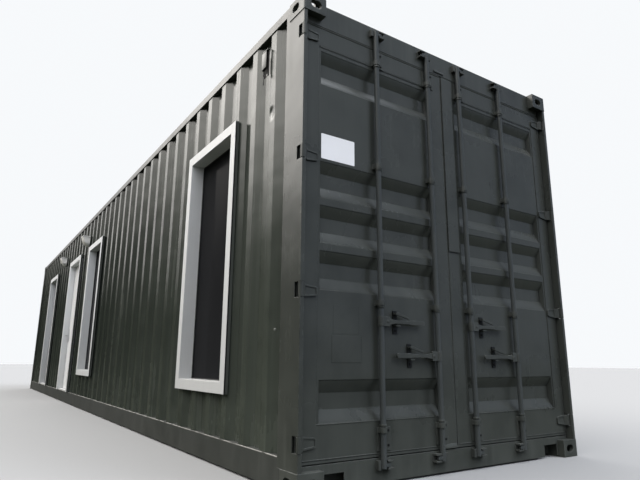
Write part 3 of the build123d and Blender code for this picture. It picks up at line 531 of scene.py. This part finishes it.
# Each casing side gets a lightened angle (painted light) and a black strip in front of it (painted shade).
closings = (
    ("casing_angle", lit_angle_paint, (shade_strip_back, crest_plane), "container_paint"),
    ("casing_shade_strip", sealant_and_shade, (casing_plane, shade_strip_back), "door_rubber"),
)
for number, (middle, reach, foot) in enumerate(casing_places, start=1):
    for name, finish, depth, record_slot in closings:
        strips = []
        for x in (middle - reach - strip_width, middle + reach):
            low, high = (x, depth[0], foot), (x + strip_width, depth[1], casing_head)
            strips.append(bevelled_block(low, high, edge=0.0004, segments=1))
        settle(together(strips), f"{name}_{number}", finish, "shell")


# Stud on the wall and backs of the hinge notches
# A small steel stud is left on the wall beside the end post; its pale paint is a painted highlight. Thin
# steel plates close the outer skin of the far end post behind the knuckles of its hinges, clear of the blades
# when the door stands open.

# Painted highlight: the stud's paint is far paler than the wall's, standing in for light caught on its bulge.
highlit_stud_paint = sprayed("paint on wall stud, pale as a painted highlight", Colour=(0.13, 0.137, 0.127, 1), Edge_Radius=0.002)
stud_low, stud_high = (5.809, -1.2165, 0.838), (5.827, -1.2085, 0.853)
stud = bevelled_block(stud_low, stud_high, edge=0.003, segments=3)
settle(stud, "wall_stud", highlit_stud_paint, "shell")
back_x, back_y = (6.028, 6.054), (1.2117, 1.2147)
half_notch = 0.0418
backs = []
for level in (0.252, 1.0503, 1.8487, 2.647):
    low, high = (back_x[0], back_y[0], level - half_notch), (back_x[1], back_y[1], level + half_notch)
    backs.append(bevelled_block(low, high, edge=0.0006, segments=1))
settle(together(backs), "notch_backs", steel_paint, "shell")


# Cabin door
# A flush white steel-faced leaf, hung on steel hinges between white jambs. It has a plain lever handle of
# brushed steel on each face.

door_paint = sprayed(
    "white door paint",
    Colour=(0.70, 0.70, 0.70, 1),
    Worn_Colour=(0.5, 0.5, 0.5, 1),
    Dust_Colour=(0.5, 0.48, 0.44, 1),
    Wear=0.2,
    Dust=0.25,
    Runs=0.15,
    Edge_Radius=0.002,
    Base_Roughness=0.35,
    Peel=0.1,
)
dress(door_paint, "cabin_door_leaf")
brushed, brushed_tree, brushed_shader = bare_finish("brushed steel")
brushed_shader.inputs["Metallic"].default_value = 1.0
strokes = speckle(brushed_tree, own_place(brushed_tree), (30.0, 30.0, 900.0), detail=3.0, low=0.2, high=0.8)
shine = blended(brushed_tree, strokes, (0.5, 0.5, 0.51, 1), (0.62, 0.62, 0.63, 1))
brushed_tree.links.new(shine, brushed_shader.inputs["Base Color"])
scratched = arithmetic(brushed_tree, "ADD", 0.25, product(brushed_tree, strokes, 0.15))
brushed_tree.links.new(scratched, brushed_shader.inputs["Roughness"])
dress(brushed, "cabin_door_handle", "cabin_hinge_frame_halves", "cabin_hinge_leaf_halves")


# Wall lamps
# Shield-shaped metal housings, pale and weathered. One is screwed to the crests of the wall on either side of
# the door.

lamp_finish = sprayed(
    "pale lamp housing",
    Colour=(0.78, 0.76, 0.73, 1),
    Worn_Colour=(0.8, 0.8, 0.78, 1),
    Dust_Colour=(0.6, 0.55, 0.5, 1),
    Wear=0.6,
    Dust=0.4,
    Runs=0.3,
    Edge_Radius=0.003,
    Base_Roughness=0.45,
    Peel=0.4,
)
dress(lamp_finish, "wall_lamps")


# Cargo doors
# Square-tube frames with a pressed sheet welded in, all sprayed over in one colour. Rubber lips go round
# both, and soft rolls of the same rubber fill the gaps under the header and between the leaves.

door_sheet_paint = sprayed("paint on cargo doors", Edge_Radius=0.009, Runs=0.08, Dust=0.12, Wear=0.0)
door_frame_paint = sprayed("paint on door frames", Edge_Radius=0.006, Runs=0.08, Dust=0.2, Wear=0.25)
lip_paint = sprayed(
    "paint on door rubber",
    Edge_Radius=0.004,
    Runs=0.1,
    Dust=0.3,
    Wear=0.1,
    Base_Roughness=0.55,
)
for side in ("left", "right"):
    dress(door_frame_paint, f"cargo_door_{side}_frame")
    dress(door_sheet_paint, f"cargo_door_{side}_panel")
    dress(lip_paint, f"cargo_door_{side}_gasket")
dress(door_frame_paint, "centre_cover_strip")

door_face = 6.042
seam_back = door_face - 0.004
seam_shapes = (
    (door_face + 0.002, 0.336, 0.344, 0.0028),
    (door_face - 0.0003, 2.592, 2.6005, 0.0034),
)
for side, y in (("left", (-1.072, -0.112)), ("right", (0.112, 1.072))):
    seams = [
        bevelled_block((seam_back, y[0], foot), (face, y[1], head), edge)
        for face, foot, head, edge in seam_shapes
    ]
    settle(together(seams), f"panel_seams_{side}", door_frame_paint, f"cargo_door_{side}")
roll_back, roll_face = door_face - 0.010, door_face + 0.003
roll_foot, roll_head = 2.7215, 2.7345
for side, y in (("left", (-1.165, -0.010)), ("right", (0.010, 1.165))):
    low, high = (roll_back, y[0], roll_foot), (roll_face, y[1], roll_head)
    roll = bevelled_block(low, high, edge=0.005, segments=3)
    settle(roll, f"head_roll_{side}", lip_paint, f"cargo_door_{side}")
low, high = (door_face - 0.009, -0.0036, 0.19), (door_face - 0.002, 0.0024, 2.725)
meeting_lip = bevelled_block(low, high, edge=0.002)
settle(meeting_lip, "meeting_lip", lip_paint, "cargo_door_left")


# Door gear
# Forged and pressed fittings, painted over in place and rubbed bright where hands and bars touch them. The
# catches of the handles are near black behind their front edges.

gear_paint = sprayed(
    "paint on door gear",
    Worn_Colour=(0.26, 0.28, 0.28, 1),
    Edge_Radius=0.002,
    Wear=0.6,
    Dust=0.3,
    Base_Roughness=0.28,
)
rubbed_paint = sprayed(
    "rubbed paint on handles",
    Colour=(0.02, 0.022, 0.021, 1),
    Worn_Colour=(0.2, 0.21, 0.2, 1),
    Wear=1.0,
    Dust=0.5,
    Edge_Radius=0.0025,
    Base_Roughness=0.35,
)
rod_paint = sprayed(
    "paint on lock rods",
    Colour=(0.026, 0.03, 0.034, 1),
    Edge_Radius=0.002,
    Wear=0.15,
    Dust=0.2,
    Base_Roughness=0.28,
)
rod_paint.node_tree.nodes["Principled BSDF"].inputs["Specular IOR Level"].default_value = 0.25
cam_paint = sprayed(
    "paint on cam keepers",
    Colour=(0.01, 0.011, 0.011, 1),
    Edge_Radius=0.002,
    Wear=0.8,
    Base_Roughness=0.5,
)
fitting_paint = sprayed("paint on rod fittings", Edge_Radius=0.002, Wear=0.7, Dust=0.3, Base_Roughness=0.4)
fitting_tree, fitting_shader, fitting_coat = parts_of(fitting_paint)
fitting_place = own_place(fitting_tree)
# The catches of the handles are made near black behind their front edges.
catch_foot, catch_head = 0.60, 0.985
darkening_start, darkening_full = 6.052, 6.046
level = axis_of(fitting_tree, fitting_place, "Z")
below = joined(fitting_tree, "ShaderNodeMath", {"operation": "LESS_THAN"}, n0=level, n1=catch_head)
above = joined(fitting_tree, "ShaderNodeMath", {"operation": "GREATER_THAN"}, n0=level, n1=catch_foot)
behind = ranged(fitting_tree, axis_of(fitting_tree, fitting_place, "X"), darkening_start, darkening_full)
darker_behind_catches = product(fitting_tree, behind, below.outputs[0], above.outputs[0], 0.92)
darker_behind_catches = blended(fitting_tree, darker_behind_catches, fitting_coat.outputs["Colour"], (0.003, 0.003, 0.003, 1))
fitting_tree.links.new(darker_behind_catches, fitting_shader.inputs["Base Color"])
for side in ("left", "right"):
    dress(gear_paint, f"cargo_door_{side}_hinge_blades")
    dress(fitting_paint, f"cargo_door_{side}_rod_fittings")
for number in range(1, 5):
    dress(rod_paint, f"lock_rod_{number}")
    dress(rubbed_paint, f"lock_handle_{number}")
dress(cam_paint, "cam_keepers")


# Collars and bolts of the lock rods
# A pressed steel ring on each rod beside every bracket keeps it at its height. Hexagon bolts hold the bracket
# plates, two one above the other in each tall one.


def turned_disc(radius, depth, sides, rim, axis="Z"):
    """A short cylinder at the origin with both its rims rounded."""
    bpy.ops.object.select_all(action="DESELECT")
    tip = (0, math.pi / 2, 0) if axis == "X" else (0, 0, 0)
    bpy.ops.mesh.primitive_cylinder_add(vertices=sides, radius=radius, depth=depth, rotation=tip)
    disc = bpy.context.active_object
    bpy.ops.object.transform_apply(location=False, rotation=True, scale=False)
    soften(disc, rim, segments=2, least_angle=61)
    bpy.ops.object.shade_smooth_by_angle(angle=math.radians(40))
    return disc


def repeated(pattern, places):
    """One mesh of copies of a piece, each at its own place."""
    copies = []
    for where in places:
        copy = pattern.copy()
        copy.data = pattern.data.copy()
        copy.location = where
        bpy.context.scene.collection.objects.link(copy)
        copies.append(copy)
    bpy.data.objects.remove(pattern)
    return together(copies)


def bolt_heads(places):
    """Hexagon heads that face out of the cargo doors."""
    return repeated(turned_disc(radius=0.0075, depth=0.006, sides=6, rim=0.001, axis="X"), places)


rod_x = 6.068
rod_places = {1: -0.632, 2: -0.161, 3: 0.161, 4: 0.632}
collar_levels = (0.3165, 0.990, 1.858, 2.584)
collar_step = 0.0022
for number, y in rod_places.items():
    ring = turned_disc(radius=0.021, depth=0.013, sides=24, rim=0.0015)
    bpy.ops.object.mode_set(mode="EDIT")
    bpy.ops.mesh.select_mode(type="FACE")
    bpy.ops.mesh.select_all(action="DESELECT")
    bpy.ops.object.mode_set(mode="OBJECT")
    for face in ring.data.polygons:
        face.select = abs(face.normal.z) > 0.99 and len(face.vertices) > 4
    bpy.ops.object.mode_set(mode="EDIT")
    bpy.ops.mesh.inset(thickness=collar_step, depth=0)
    bpy.ops.mesh.bridge_edge_loops()
    bpy.ops.mesh.select_all(action="SELECT")
    bpy.ops.mesh.normals_make_consistent(inside=False)
    bpy.ops.object.mode_set(mode="OBJECT")
    rings = repeated(ring, [(rod_x, y, level) for level in collar_levels])
    settle(rings, f"rod_collars_{number}", gear_paint, f"lock_rod_{number}")

panel_face = 6.038
bolt_stand = 0.008
frame_bolts = [(door_face + bolt_stand, 0.054, z) for z in (0.205, 0.286, 2.612, 2.693)]
sheet_bolts = [(panel_face + bolt_stand, 0.037, z) for z in (1.0135, 1.8815)]
for side, numbers in (("left", (1, 2)), ("right", (3, 4))):
    places = [
        (x, rod_places[number] + aside, z)
        for number in numbers
        for x, aside, z in frame_bolts + sheet_bolts
    ]
    settle(bolt_heads(places), f"bracket_bolts_{side}", sealant_and_shade, f"cargo_door_{side}")


# Side ventilator
# A small folded steel hood over a hollow of the wall, high up beside the end post. One end is torn off, so
# that the black mesh behind it shows, and a strip hangs bent from its foot.

vent_low, vent_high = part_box("side_ventilator")
left, front = vent_low.x, vent_low.y
right, back, top = vent_high
hood_foot = top - 0.134
sheet = 0.003
hood_left = left + 0.028
hood_head = top - 0.012
scrap_front = front + 0.006
front_plate = (hood_left, front, hood_foot), (left + 0.096, front + sheet, hood_head)
end_plate = (hood_left, front, hood_foot), (hood_left + sheet, back - 0.006, hood_head)
top_plate = (left + 0.050, front, top - 0.010), (right - 0.031, front + 0.020, top - 0.002)
scrap_foot, scrap_head = hood_foot - 0.072, hood_foot - 0.055
torn_scrap = (right - 0.056, scrap_front, scrap_foot), (right - 0.036, scrap_front + sheet, scrap_head)
plates = (front_plate, end_plate, top_plate, torn_scrap)
hood = together([bevelled_block(low, high, edge=0.0012) for low, high in plates])
settle(hood, "ventilator_hood", steel_paint, "shell")
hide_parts("side_ventilator")
mesh_y = front + 0.013
mesh_foot = hood_foot - 0.065
low, high = (left + 0.032, mesh_y, mesh_foot), (right - 0.030, mesh_y + 0.002, top - 0.008)
backing = [bevelled_block(low, high, edge=0.0005, segments=1)]
bars = 14
bar_pitch = (top - 0.02 - mesh_foot) / bars
for number in range(bars):
    level = mesh_foot + 0.006 + number * bar_pitch
    low, high = (left + 0.034, mesh_y - 0.003, level), (right - 0.032, mesh_y, level + 0.004)
    backing.append(bevelled_block(low, high, edge=0.0008, segments=1))
settle(together(backing), "ventilator_mesh", sealant_and_shade, "shell")
low, high = (left + 0.048, front + 0.004, vent_low.z), (left + 0.060, front + 0.007, mesh_foot + 0.01)
strip = bevelled_block(low, high, edge=0.001)
settle(strip, "ventilator_strip", sealant_and_shade, "shell")


# Rivets of the handles and bolts of their catches
# A domed steel rivet, painted with its bar, lets each handle lift in the lug of its collar. Two bolts hold
# each catch plate to the door.

long_handle = (1, 0.905, 0.131)
short_handle = (-1, 0.706, 0.229)
handles = {1: long_handle, 2: short_handle, 3: long_handle, 4: short_handle}
rivet_reach = 0.047
for number, (way, level, _) in handles.items():
    rivet = turned_disc(radius=0.010, depth=0.024, sides=16, rim=0.003, axis="X")
    rivet = repeated(rivet, [(rod_x, rod_places[number] + way * rivet_reach, level)])
    settle(rivet, f"handle_rivet_{number}", rubbed_paint, f"lock_rod_{number}")
for side, numbers in (("left", (1, 2)), ("right", (3, 4))):
    places = []
    for number in numbers:
        way, level, reach = handles[number]
        y = rod_places[number] + way * reach
        places += [(panel_face + bolt_stand, y, level + z) for z in (-0.05, 0.05)]
    settle(bolt_heads(places), f"catch_bolts_{side}", sealant_and_shade, f"cargo_door_{side}")


# Bare plate and painted-over plates
# A thin white plate with rounded corners is stuck to the left door above its middle, and lower down two older
# ones, one under the other, have been painted over, so that only their outlines show.

plate_paint = sprayed(
    "white film of the bare plate",
    Colour=(0.80, 0.80, 0.82, 1),
    Worn_Colour=(0.5, 0.5, 0.5, 1),
    Dust_Colour=(0.5, 0.48, 0.45, 1),
    Wear=0.2,
    Dust=0.2,
    Runs=0.1,
    Edge_Radius=0.001,
    Base_Roughness=0.3,
    Peel=0.08,
)


def thin_plate(y, z, depth, corner):
    """A flat plate on the left door, with its corners rounded in edit mode."""
    bpy.ops.object.select_all(action="DESELECT")
    centre = (panel_face + depth / 2, (y[0] + y[1]) / 2, (z[0] + z[1]) / 2)
    bpy.ops.mesh.primitive_cube_add(size=1, location=centre)
    piece = bpy.context.active_object
    piece.scale = (depth, y[1] - y[0], z[1] - z[0])
    bpy.ops.object.transform_apply(location=False, rotation=False, scale=True)
    bpy.ops.object.mode_set(mode="EDIT")
    bpy.ops.mesh.select_mode(type="EDGE")
    bpy.ops.mesh.select_all(action="DESELECT")
    bpy.ops.object.mode_set(mode="OBJECT")
    for edge in piece.data.edges:
        a, b = (piece.data.vertices[i].co for i in edge.vertices)
        edge.select = abs(a.x - b.x) > depth / 2
    bpy.ops.object.mode_set(mode="EDIT")
    bpy.ops.mesh.bevel(offset=corner, segments=5, affect="EDGES")
    bpy.ops.object.mode_set(mode="OBJECT")
    return piece


white_plate = thin_plate(y=(-1.050, -0.800), z=(1.855, 2.015), depth=0.001, corner=0.005)
settle(white_plate, "bare_plate", plate_paint, "cargo_door_left")
upper_plate = thin_plate(y=(-0.962, -0.775), z=(0.820, 0.988), depth=0.0005, corner=0.004)
lower_plate = thin_plate(y=(-0.971, -0.757), z=(0.661, 0.815), depth=0.0008, corner=0.004)
old_plates = together([upper_plate, lower_plate])
settle(old_plates, "painted_patches", door_sheet_paint, "cargo_door_left")


# Lips of the doors and header stop
# A folded steel strip stiffens the foot of each leaf and laps over the sill, a short sloping cover guards the
# gap between the leaves at the foot, and a stop is welded to the middle of the header.

lip_depth = 0.0035
lip_foot, lip_head = 0.1625, 0.1685
for side, y in (("left", (-1.165, -0.022)), ("right", (0.022, 1.165))):
    low, high = (door_face, y[0], lip_foot), (door_face + lip_depth, y[1], lip_head)
    lip = bevelled_block(low, high, edge=0.0012)
    settle(lip, f"foot_lip_{side}", steel_paint, f"cargo_door_{side}")
guard_slope = 0.009
guard = bevelled_block((door_face, -0.141, 0.1475), (door_face + 0.014, -0.010, 0.1735), edge=0.002)
bpy.ops.object.mode_set(mode="EDIT")
bpy.ops.mesh.select_mode(type="VERT")
bpy.ops.mesh.select_all(action="DESELECT")
bpy.ops.object.mode_set(mode="OBJECT")
for point in guard.data.vertices:
    point.select = point.co.z > 0 and point.co.x > 0
bpy.ops.object.mode_set(mode="EDIT")
bpy.ops.transform.translate(value=(-guard_slope, 0, 0))
bpy.ops.object.mode_set(mode="OBJECT")
settle(guard, "foot_guard", gear_paint, "cargo_door_left")
stop_low, stop_high = (6.046, -0.070, 2.750), (6.053, 0.030, 2.765)
stop = bevelled_block(stop_low, stop_high, edge=0.0015)
settle(stop, "header_stop", steel_paint, "shell")
